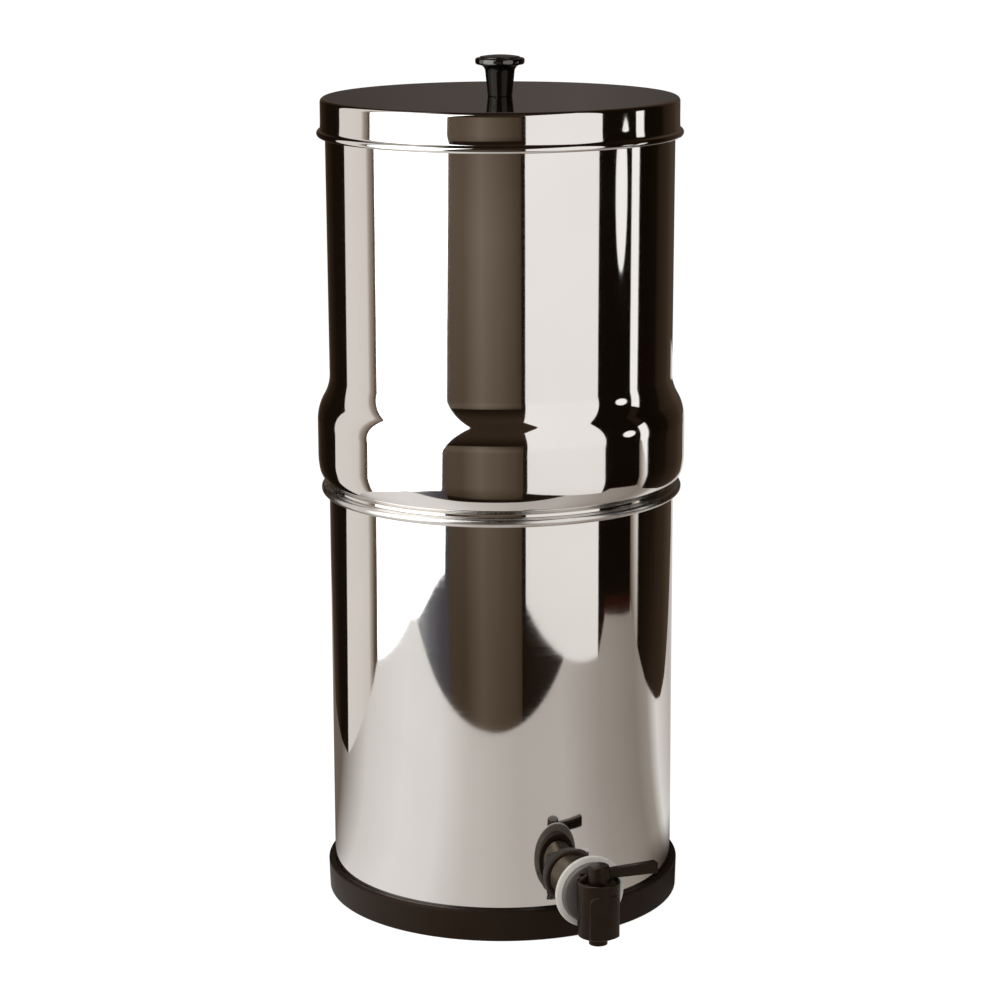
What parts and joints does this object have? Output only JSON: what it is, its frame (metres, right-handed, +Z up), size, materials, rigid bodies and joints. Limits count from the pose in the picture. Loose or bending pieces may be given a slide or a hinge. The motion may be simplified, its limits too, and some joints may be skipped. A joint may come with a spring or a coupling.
{
  "type": "gravity water filter with tap",
  "caption": "Two stacked polished steel chambers on a foot ring, with a knobbed lid, ceramic filter candles inside and a quarter-turn tap low on the lower chamber's wall.",
  "frame": {"origin": "on the axis of the chambers, in the plane that the foot ring rests on", "axes": "+Z up along the axis of the chambers; -Y along the tap, from the chamber wall to the spout; +X the way the closed tap lever points"},
  "size_m": [0.2226, 0.2741, 0.5154],
  "materials": {
    "polished_steel": "mirror-polished stainless steel",
    "plain_steel": "plain stainless steel",
    "knob_black": "gloss black",
    "tap_black": "satin brown-black",
    "foot_black": "matt brown-black",
    "dark_rubber": "matt dark grey",
    "pale_silicone": "satin off-white",
    "candle_ceramic": "matt, finely porous",
    "carbon_core": "matt pressed carbon",
    "white_plastic": "satin white"
  },
  "bodies": {
    "stand": {"base_ring": "foot_black", "lower_chamber": "polished_steel", "tap_body": "tap_black", "tap_gland_ring": "tap_black", "tap_pale_washer": "pale_silicone", "tap_jam_nut": "tap_black", "tap_ring_nut": "tap_black", "tap_outer_washer": "dark_rubber", "tap_inner_washer": "dark_rubber", "tap_back_nut": "tap_black"},
    "upper": {"upper_chamber": "polished_steel", "candle_shell_left": "candle_ceramic", "candle_shell_right": "candle_ceramic", "candle_core_left": "carbon_core", "candle_core_right": "carbon_core", "candle_mount_left": "white_plastic", "candle_mount_right": "white_plastic", "candle_seal_left": "dark_rubber", "candle_seal_right": "dark_rubber", "candle_wing_nut_left": "white_plastic", "candle_wing_nut_right": "white_plastic", "blanking_plugs": "white_plastic", "blanking_washers": "dark_rubber", "blanking_nuts": "white_plastic"},
    "lid": {"lid_shell": "polished_steel", "lid_knob": "knob_black", "lid_knob_washer": "plain_steel", "lid_knob_screw": "plain_steel"},
    "tap_handle": {"tap_lever": "tap_black", "tap_plug": "tap_black", "tap_plug_seals": "dark_rubber"}
  },
  "joints": [
    {"name": "chamber_lift", "type": "slide", "parent": "stand", "child": "upper", "axis": [0, 0, 1], "range_m": [0, 0.08]},
    {"name": "lid_lift", "type": "slide", "parent": "upper", "child": "lid", "axis": [0, 0, 1], "range_m": [0, 0.1]},
    {"name": "tap_turn", "type": "hinge", "parent": "stand", "child": "tap_handle", "pos_m": [0, -0.1493, 0.0384], "axis": [0, 0, -1], "range_deg": [0, 90]}
  ]
}
